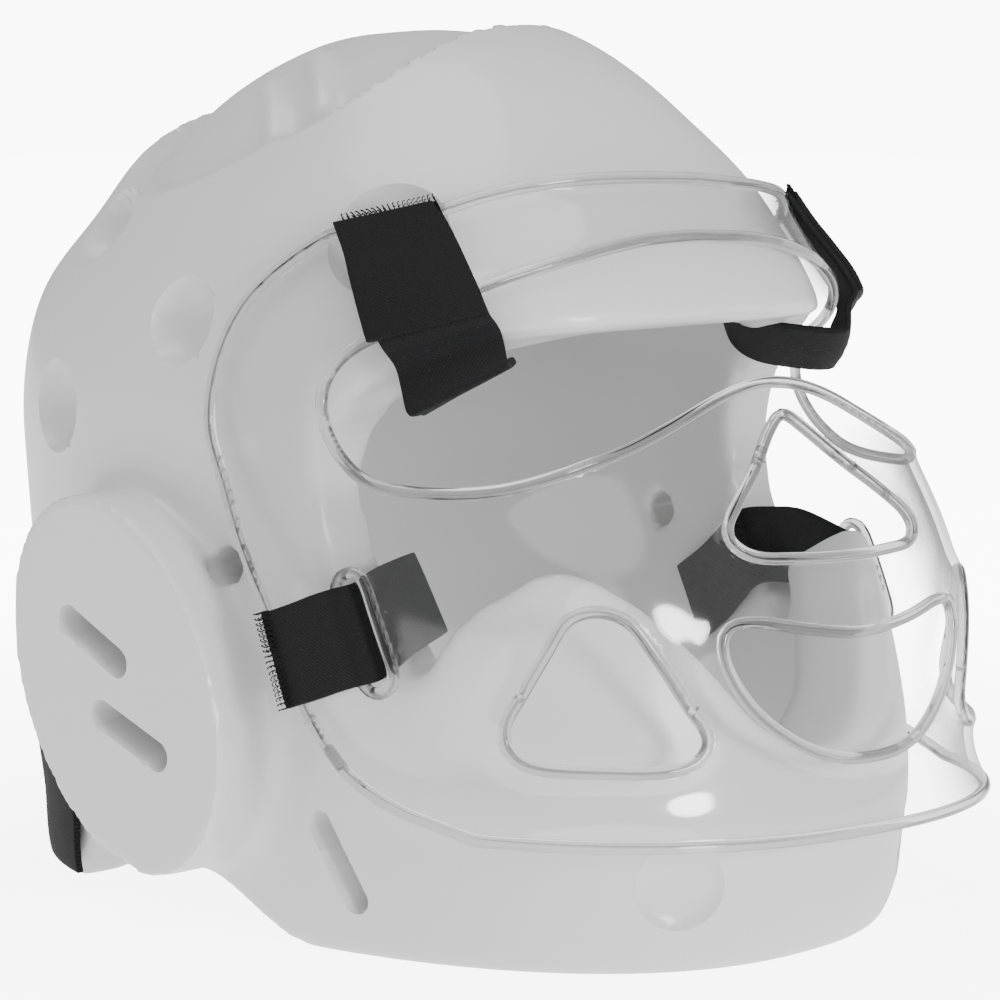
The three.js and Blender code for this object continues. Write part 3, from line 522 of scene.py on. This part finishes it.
def buildShield():
    loops = shieldLoops()
    inset = shield["sheetInset"]
    outer, eye = insetLoop(loops[0], inset), insetLoop(loops[1], -inset)
    holes, slots = [[insetLoop(loop, -inset) for loop in group] for group in loops[2:]]
    bm = bmesh.new()
    low, high = outer.min(axis=0) - 3, outer.max(axis=0) + 3
    counts = np.ceil((high - low) / shield["cell"]).astype(int)
    bmesh.ops.create_grid(bm, x_segments=int(counts[0]), y_segments=int(counts[1]), size=0.5)
    flat = np.array([v.co[:2] for v in bm.verts]) + 0.5
    flat = low + flat / flat.max() * (high - low)
    # signed distance to the material, positive inside it, and the nearest place on any edge
    distance, near = loopDistance(flat, outer)
    inside = -distance
    for loop in [eye] + holes + slots:
        away, foot = loopDistance(flat, loop)
        closer = away < inside
        inside, near = np.where(closer, away, inside), np.where(closer[:, None], foot, near)
    snap = np.abs(inside) < 0.62 * shield["cell"]
    flat[snap], inside[snap] = near[snap], 0.0
    bm.verts.ensure_lookup_table()
    for v, (a, b) in zip(bm.verts, flat):
        v.co = (a, b, 0)
    out = inside < -1e-6
    for face in list(bm.faces):
        gone = [v for v in face.verts if out[v.index]]
        if len(gone) == 1:
            i = [v.index for v in face.verts].index(gone[0].index)
            ring = list(face.verts)
            bmesh.utils.face_split(face, ring[i - 1], ring[(i + 1) % 4])
    doomed = [f for f in bm.faces if any(out[v.index] for v in f.verts)]
    bmesh.ops.delete(bm, geom=doomed, context="FACES")
    bmesh.ops.delete(bm, geom=[v for v in bm.verts if not v.link_faces], context="VERTS")
    bmesh.ops.remove_doubles(bm, verts=bm.verts, dist=0.55)
    made = addObject("faceShield", bm)
    place = points(made)
    setPoints(made, shieldPlace(place[:, :2].copy(), loops))
    addModifier(made, "thickness", "SOLIDIFY", thickness=shield["thickness"], offset=-1, use_rim=True)
    applyModifiers(made)
    inset = shield["beadInset"]
    middles = [insetLoop(loops[0], inset)] + [insetLoop(loop, -inset) for loop in [loops[1]] + loops[2] + loops[3]]
    joinBeads(made, [buildBead(middle, loops) for middle in middles])
    print("face shield", len(made.data.vertices))
    return made


# the beads join the sheet, and "rim" tells the material which is which
def joinBeads(sheet, beads):
    bm = bmesh.new()
    bm.from_mesh(sheet.data)
    sheetCount = len(bm.verts)
    for bead in beads:
        bm.from_mesh(bead.data)
        bpy.data.objects.remove(bead)
    bm.verts.ensure_lookup_table()
    bmesh.ops.remove_doubles(bm, verts=bm.verts[sheetCount:], dist=1e-3)
    bmesh.ops.recalc_face_normals(bm, faces=bm.faces)
    bm.to_mesh(sheet.data)
    bm.free()
    sheet.data.shade_smooth()
    rim = sheet.data.attributes.new("rim", "FLOAT", "POINT")
    rim.data.foreach_set("value", np.arange(len(sheet.data.vertices)) >= sheetCount)


# straps: width and thickness, where their middles lie round the shield's axis, and their paths
straps = {
    "thick": 1.9, "gap": 0.4, "step": 1.2, "across": 14, "hooksAcross": 19, "hookRadius": 0.95, "hookWire": 0.17,
    "browRight": {"width": 33, "turn": 74, "height": 172.6, "run": -52.5, "above": 27.5, "below": 28, "bow": 0, "inBack": 14, "bend": 6},
    "browLeft": {"width": 33, "turn": 67, "height": 176.4, "run": -78, "above": 23.5, "below": 19, "bow": 2.8, "inBack": 0, "bend": 0},
    "cheek": {"width": 26, "turn": 75.5, "height": 88.5, "lean": 24},
    # brow path: share of the run above or below the middle, layer, lift off it, lean of its cross-cut
    "browPath": [
        (-1, "overShield", 0, -80), (-0.66, "overShield", 0, -80), (-0.33, "overShield", 0, -80),
        (0, "overShield", 0, -79), (0.3, "overShield", 0, -77), (0.55, "overFoam", 4.8, -73),
        (0.8, "overFoam", 4.4, -69), (1, "overFoam", 3.6, -67), (1.03, "overFoam", 0.5, -67),
        (1, "overFoam", -7, -67), (0.97, "insideFoam", 3, -67),
        (0.78, "insideFoam", -2, -70), (0.4, "insideFoam", -2, -74), (0, "insideFoam", -2, -79),
        (-0.35, "insideFoam", -2, -80)],
    # the flap that closes over it: its last row, lift, how far it stands out at the rear edge
    "flapTo": 0.5, "flapLift": 2.0, "flapBack": 2.4,
    # cheek path: fore, up, layer, lift off it, lean of its cross-cut
    "cheekPath": [
        (-28, -10, "overShield", 0, 24), (-18, -6.5, "overShield", 0, 24), (-9, -3, "overShield", 0, 24),
        (-3, -1, "overShield", 0, 24), (0, 0, "inShield", 0, 24), (-2, 6, "insideFoam", 20, 34),
        (-2, 8, "insideFoam", 7.5, 37), (-5, 8, "insideFoam", 0, 38), (-11, 6, "insideFoam", -2, 38),
        (-22, 1, "insideFoam", -2, 37), (-36, -6, "insideFoam", -1, 36), (-50, -13, "insideFoam", -1, 35)],
    "back": {"bottom": 5, "top": 69, "turn": 122, "bow": 4, "thick": 2, "tongue": (5, 11), "steps": 16},
}


def layerRadius(layer, turn, height):
    half = straps["thick"] / 2
    if layer == "overFoam":
        return foamFromShieldAxis(turn, height) + straps["gap"] + half
    if layer == "insideFoam":
        return foamFromShieldAxis(turn, height, shell["wall"], shell["crownWall"]) - straps["gap"] - half
    onShield = shieldRadius(turn, height + shield["sag"] * np.sin(turn))
    return onShield + 2.5 * straps["gap"] + half if layer == "overShield" else onShield - shield["thickness"] / 2


def strapLine(side, strap, stations, out):
    found = []
    sag = shield["sag"] * math.sin(side * math.radians(strap["turn"]))
    for fore, up, layer, lift, lean in stations:
        a = math.radians(lean)
        turn = np.array([side * (math.radians(strap["turn"]) - (fore - out * math.sin(a)) / shield["reach"])])
        height = np.array([strap["height"] - (0 if layer == "insideFoam" else sag) + up + out * math.cos(a)])
        found.append(roundPoints(turn, layerRadius(layer, turn, height) + lift, height)[0])
    return np.array(found)


def strapGrid(name, lines, count):
    rows, columns = count, len(lines)
    bm = bmesh.new()
    bmesh.ops.create_grid(bm, x_segments=columns - 1, y_segments=rows - 1, size=0.5)
    made = addObject(name, bm)
    flat = points(made)[:, :2]
    column = np.rint((flat[:, 0] - flat[:, 0].min()) / (flat[:, 0].max() - flat[:, 0].min()) * (columns - 1)).astype(int)
    row = np.rint((flat[:, 1] - flat[:, 1].min()) / (flat[:, 1].max() - flat[:, 1].min()) * (rows - 1)).astype(int)
    grid = np.array([curveThrough(line, rows) for line in lines])
    setPoints(made, grid[column, row])
    corners = np.zeros(len(made.data.loops), dtype=int)
    made.data.loops.foreach_get("vertex_index", corners)
    across, along = [np.linalg.norm(grid[a, b] - grid[0, 1]) for a, b in ((1, 1), (0, 2))]
    weave = made.data.uv_layers.new(name="weave")
    weave.data.foreach_set("uv", np.stack([column[corners] * across, row[corners] * along], axis=1).ravel())
    return made


# the hooks that stand out of a strap's cut end: short half rings of wire in rows
def buildHooks(lines, count):
    grid = np.array([curveThrough(line, count) for line in lines])[:, :5]
    grid = np.concatenate([2 * grid[:, :1] - grid[:, 1:2], grid], axis=1)
    acrossLine = np.linspace(0, len(grid) - 1, straps["hooksAcross"])
    bm = bmesh.new()
    for number, (k, share) in enumerate([(k, share) for k in range(4) for share in acrossLine]):
        i = min(int(share), len(grid) - 2)
        place = grid[i, k] + (share - i) * (grid[i + 1, k] - grid[i, k])
        along, across = grid[i, k + 1] - grid[i, k], grid[i + 1, k] - grid[i, k]
        outward = np.cross(along, across)
        outward /= np.linalg.norm(outward) * np.sign(outward @ (place - (0, shield["axis"], place[2])))
        along, across = along / np.linalg.norm(along), across / np.linalg.norm(across)
        tilt = 0.7 * math.sin(12.9 * number)
        flatWay = along * math.cos(tilt) + across * math.sin(tilt)
        thin = np.cross(outward, flatWay)
        made = bmesh.ops.create_grid(bm, x_segments=6, y_segments=4, size=0.5)["verts"]
        for v in made:
            a, b = math.pi * (v.co.x + 0.5), 2 * math.pi * v.co.y
            ring = flatWay * math.cos(a) + outward * math.sin(a)
            reach = straps["hookRadius"] + straps["hookWire"] * math.cos(b)
            v.co = place + outward * straps["thick"] / 2 + ring * reach + thin * straps["hookWire"] * math.sin(b)
    return addObject("hooks", bm)


def joinMesh(base, extra):
    bm = bmesh.new()
    bm.from_mesh(base.data)
    bm.from_mesh(extra.data)
    bpy.data.objects.remove(extra)
    bm.to_mesh(base.data)
    bm.free()


def curveThrough(line, count):
    chord = np.concatenate([[0], np.cumsum(np.maximum(np.linalg.norm(np.diff(line, axis=0), axis=1), 1e-6) ** 0.5)])
    slope = np.gradient(line, chord, axis=0)
    at = np.linspace(0, chord[-1], count * 6)
    i = np.clip(np.searchsorted(chord, at, side="right") - 1, 0, len(chord) - 2)
    step = (chord[i + 1] - chord[i])[:, None]
    s = ((at - chord[i]) / step[:, 0])[:, None]
    dense = (2 * s ** 3 - 3 * s ** 2 + 1) * line[i] + (s ** 3 - 2 * s ** 2 + s) * step * slope[i]
    dense += (-2 * s ** 3 + 3 * s ** 2) * line[i + 1] + (s ** 3 - s ** 2) * step * slope[i + 1]
    length = np.concatenate([[0], np.cumsum(np.linalg.norm(np.diff(dense, axis=0), axis=1))])
    even = np.linspace(0, length[-1], count)
    return np.stack([np.interp(even, length, dense[:, k]) for k in range(3)], axis=1)


def buildStrap(name, side, strap, stations, length, hooked):
    outs = np.linspace(-0.5, 0.5, straps["across"] + 1) * strap["width"]
    lines = [strapLine(side, strap, stations, out) for out in outs]
    made = strapGrid(name, lines, int(length / straps["step"]))
    addModifier(made, "thickness", "SOLIDIFY", thickness=straps["thick"], offset=0, use_rim=True)
    addModifier(made, "edges", "BEVEL", width=0.45, segments=2, limit_method="ANGLE", angle_limit=math.radians(50))
    applyModifiers(made)
    if hooked:
        joinMesh(made, buildHooks(lines, int(length / straps["step"])))
    print(name, len(made.data.vertices))
    return made


def buildStraps():
    made = {}
    for sideName, side in (("right", -1), ("left", 1)):
        brow = straps["brow" + sideName.title()]
        run = math.radians(brow["run"])
        path = [(share * brow["above" if share < 0 else "below"], layer,
                 lift + brow["bow"] * math.exp(-(share / 0.6) ** 2) * layer.startswith("over"), lean)
                for share, layer, lift, lean in straps["browPath"]]
        path = [(d * math.cos(run) + (-brow["inBack"] if layer == "insideFoam" else brow["bend"] * (1 - (d / 27) ** 2)),
                 d * math.sin(run), layer, lift, lean) for d, layer, lift, lean in path]
        strap = buildStrap("browStrap" + sideName.title(), side, brow, path, 120, True)
        ends = [row for row, (share, *_) in enumerate(straps["browPath"]) if share > straps["flapTo"]][0]
        flap = [(fore - straps["flapBack"] / 2, up, layer, lift + straps["flapLift"], lean)
                for fore, up, layer, lift, lean in path[:ends]]
        flapShape = dict(brow, width=brow["width"] + straps["flapBack"])
        joinMesh(strap, buildStrap("flap", side, flapShape, flap, 42, False))
        made["brow_strap_" + sideName] = strap
        cheek = buildStrap("cheekStrap" + sideName.title(), side, straps["cheek"], straps["cheekPath"], 105, True)
        made["cheek_strap_" + sideName] = cheek
    made["back_strap"] = buildBackStrap()
    return made


def buildBackStrap():
    b = straps["back"]
    lines = []
    for row in np.linspace(-0.5, 0.5, 40):
        height = b["bottom"] + (b["top"] - b["bottom"]) * (row + 0.5)
        along = np.linspace(0, 1, 97)
        turn = np.radians(b["turn"] + (360 - 2 * b["turn"]) * along)
        bow = b["bow"] * np.sin(math.pi * along) * (row + 0.7)
        radius = shellRadius(np.full_like(turn, height), turn) + 3 * straps["gap"] + bow + b["thick"] / 2
        lines.append(np.stack([radius * np.sin(turn), -radius * np.cos(turn), np.full_like(turn, height)], axis=1))
    made = strapGrid("backStrap", lines, 150)
    addModifier(made, "thickness", "SOLIDIFY", thickness=b["thick"], offset=0, use_rim=True)
    addModifier(made, "edges", "BEVEL", width=0.45, segments=2, limit_method="ANGLE", angle_limit=math.radians(50))
    applyModifiers(made)
    return made


def toFrame(obj):
    place = points(obj)
    place[:, 1] += shiftBack
    setPoints(obj, place * mm)


# dipped foam: a smooth vinyl skin with a soft, slightly broken gloss over fine orange peel
def foamMaterial():
    material, tree = newMaterial("vinylDippedFoam")
    surface = tree.nodes["Principled BSDF"]
    surface.inputs["Base Color"].default_value = srgb("#c6c6c6")
    surface.inputs["Roughness"].default_value = 0.34
    surface.inputs["Coat Weight"].default_value = 0.25
    surface.inputs["Coat Roughness"].default_value = 0.12
    place = addNode(tree, "ShaderNodeTexCoord")
    peel = addNode(tree, "ShaderNodeTexNoise", values={"Scale": 300.0, "Detail": 1.0}, links={"Vector": place.outputs["Object"]})
    bump = addNode(tree, "ShaderNodeBump", values={"Strength": 0.15, "Distance": 0.0004}, links={"Height": peel.outputs["Fac"]})
    tree.links.new(bump.outputs["Normal"], surface.inputs["Normal"])
    return material


# clear plastic: seen straight through, with a film of gloss that grows at grazing angles; where the sheet is seen
# edge-on its see-through colour is darkened to grey, painted shade for the dark edge lines; its rims bend the light
def clearMaterial():
    material, tree = newMaterial("clearPlastic")
    glass = tree.nodes["Principled BSDF"]
    glass.inputs["Base Color"].default_value = srgb("#ececec")
    glass.inputs["Roughness"].default_value = 0.05
    glass.inputs["IOR"].default_value = 1.45
    glass.inputs["Transmission Weight"].default_value = 1.0
    facing = addNode(tree, "ShaderNodeLayerWeight", values={"Blend": 0.5})
    # painted shade: the see-through colour turns grey where the sheet is seen edge-on
    edgeOnPaintedShade = addNode(tree, "ShaderNodeValToRGB", links={"Fac": facing.outputs["Facing"]})
    edgeOnPaintedShade.color_ramp.elements[0].color, edgeOnPaintedShade.color_ramp.elements[0].position = srgb("#ffffff"), 0.5
    edgeOnPaintedShade.color_ramp.elements[1].color, edgeOnPaintedShade.color_ramp.elements[1].position = srgb("#8c8c8c"), 1.0
    through = addNode(tree, "ShaderNodeBsdfTransparent", links={"Color": edgeOnPaintedShade.outputs["Color"]})
    gloss = addNode(tree, "ShaderNodeBsdfGlossy", values={"Roughness": 0.09, "Color": srgb("#ffffff")})
    steep = addNode(tree, "ShaderNodeMath", {"operation": "POWER"}, {1: 3.5}, {0: facing.outputs["Facing"]})
    share = addNode(tree, "ShaderNodeMath", {"operation": "MULTIPLY_ADD"}, {1: 0.6, 2: 0.045}, {0: steep.outputs["Value"]})
    film = addNode(tree, "ShaderNodeMixShader", links={"Fac": share.outputs["Value"], 1: through.outputs["BSDF"], 2: gloss.outputs["BSDF"]})
    rim = addNode(tree, "ShaderNodeAttribute", {"attribute_name": "rim"})
    both = addNode(tree, "ShaderNodeMixShader", links={"Fac": rim.outputs["Fac"], 1: film.outputs["Shader"], 2: glass.outputs["BSDF"]})
    tree.links.new(both.outputs["Shader"], tree.nodes["Material Output"].inputs["Surface"])
    return material


# webbing: black woven band, its ribs across the run
def webbingMaterial():
    material, tree = newMaterial("blackWebbing")
    surface = tree.nodes["Principled BSDF"]
    surface.inputs["Base Color"].default_value = srgb("#08080a")
    surface.inputs["Roughness"].default_value = 0.75
    surface.inputs["Specular IOR Level"].default_value = 0.22
    run = addNode(tree, "ShaderNodeUVMap", {"uv_map": "weave"})
    split = addNode(tree, "ShaderNodeSeparateXYZ", links={"Vector": run.outputs["UV"]})
    waves = []
    for axis in ("X", "Y"):
        turned = addNode(tree, "ShaderNodeMath", {"operation": "MULTIPLY"}, {1: 5.2}, {0: split.outputs[axis]})
        waves.append(addNode(tree, "ShaderNodeMath", {"operation": "SINE"}, links={0: turned.outputs["Value"]}))
    weave = addNode(tree, "ShaderNodeMath", {"operation": "MULTIPLY"},
                    links={0: waves[0].outputs["Value"], 1: waves[1].outputs["Value"]})
    bump = addNode(tree, "ShaderNodeBump", values={"Strength": 0.5, "Distance": 0.0002}, links={"Height": weave.outputs["Value"]})
    tree.links.new(bump.outputs["Normal"], surface.inputs["Normal"])
    return material


def dress(obj, material, nodes):
    toFrame(obj)
    obj.data.materials.clear()
    obj.data.materials.append(material)
    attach(obj, "root")
    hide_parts(*nodes)


# the view of the photograph: lens and shift for a square picture, and where the camera stands
view = {"lens": 130.4, "shiftX": 0.064, "azimuth": -45, "elevation": 7.0, "distance": 1.05, "target": (0, 0.017456, 0.110)}


def buildStage():
    bm = bmesh.new()
    bmesh.ops.create_grid(bm, x_segments=1, y_segments=1, size=6)
    floor = addObject("floor", bm, smooth=False)
    material, tree = newMaterial("paleFloor")
    surface = tree.nodes["Principled BSDF"]
    surface.inputs["Base Color"].default_value = srgb("#f6f6f6")
    surface.inputs["Roughness"].default_value = 0.8
    surface.inputs["Emission Color"].default_value = srgb("#ffffff")
    # emission: an even faint glow for every ray, and for the camera a white glow that is weaker near the middle,
    # painted shadow round the object
    place = addNode(tree, "ShaderNodeTexCoord")
    far = addNode(tree, "ShaderNodeVectorMath", {"operation": "LENGTH"}, links={0: place.outputs["Object"]})
    glowWithPaintedShadow = addNode(tree, "ShaderNodeMapRange", values={"From Min": 0.15, "From Max": 0.55, "To Min": 5.0, "To Max": 8.6},
                   links={"Value": far.outputs["Value"]})
    seen = addNode(tree, "ShaderNodeLightPath")
    light = addNode(tree, "ShaderNodeMath", {"operation": "MULTIPLY_ADD"}, {2: 1.15},
                    {0: seen.outputs["Is Camera Ray"], 1: glowWithPaintedShadow.outputs["Result"]})
    tree.links.new(light.outputs["Value"], surface.inputs["Emission Strength"])
    floor.data.materials.append(material)
    world = bpy.data.worlds.new("studio")
    bpy.context.scene.world = world
    world.use_nodes = True
    path = addNode(world.node_tree, "ShaderNodeLightPath")
    strength = addNode(world.node_tree, "ShaderNodeMath", {"operation": "MULTIPLY_ADD"}, {1: 9.0, 2: 0.66},
                       {0: path.outputs["Is Camera Ray"]})
    background = world.node_tree.nodes["Background"]
    background.inputs["Color"].default_value = (1, 1, 1, 1)
    world.node_tree.links.new(strength.outputs["Value"], background.inputs["Strength"])
    addLamp("key", (-0.7, -1.0, 1.7), 2.0, 15)
    addLamp("front", (-0.25, -1.5, 0.4), 0.4, 13)
    addLamp("top", (-0.3, 0.3, 1.8), 1.2, 13)
    eye = bpy.data.objects.new("camera", bpy.data.cameras.new("camera"))
    bpy.context.collection.objects.link(eye)
    a, e = math.radians(view["azimuth"]), math.radians(view["elevation"])
    back = Vector((math.sin(a) * math.cos(e), -math.cos(a) * math.cos(e), math.sin(e)))
    eye.location = Vector(view["target"]) + view["distance"] * back
    eye.rotation_euler = back.to_track_quat("Z", "Y").to_euler()
    eye.data.lens, eye.data.sensor_width = view["lens"], 36
    eye.data.shift_x = view["shiftX"]
    bpy.context.scene.camera = eye


def addLamp(name, place, size, power):
    light = bpy.data.lights.new(name, "AREA")
    light.shape, light.size, light.energy = "DISK", size, power
    lamp = bpy.data.objects.new(name, light)
    bpy.context.collection.objects.link(lamp)
    lamp.location = place
    lamp.rotation_euler = (Vector(place) - Vector((0, 0, 0.11))).to_track_quat("Z", "Y").to_euler()


foam = buildFoam()
dress(foam, foamMaterial(), ["foam_shell"])
clear = buildShield()
dress(clear, clearMaterial(), ["face_shield"])
webbing = webbingMaterial()
for node, strap in buildStraps().items():
    dress(strap, webbing, [node])
buildStage()
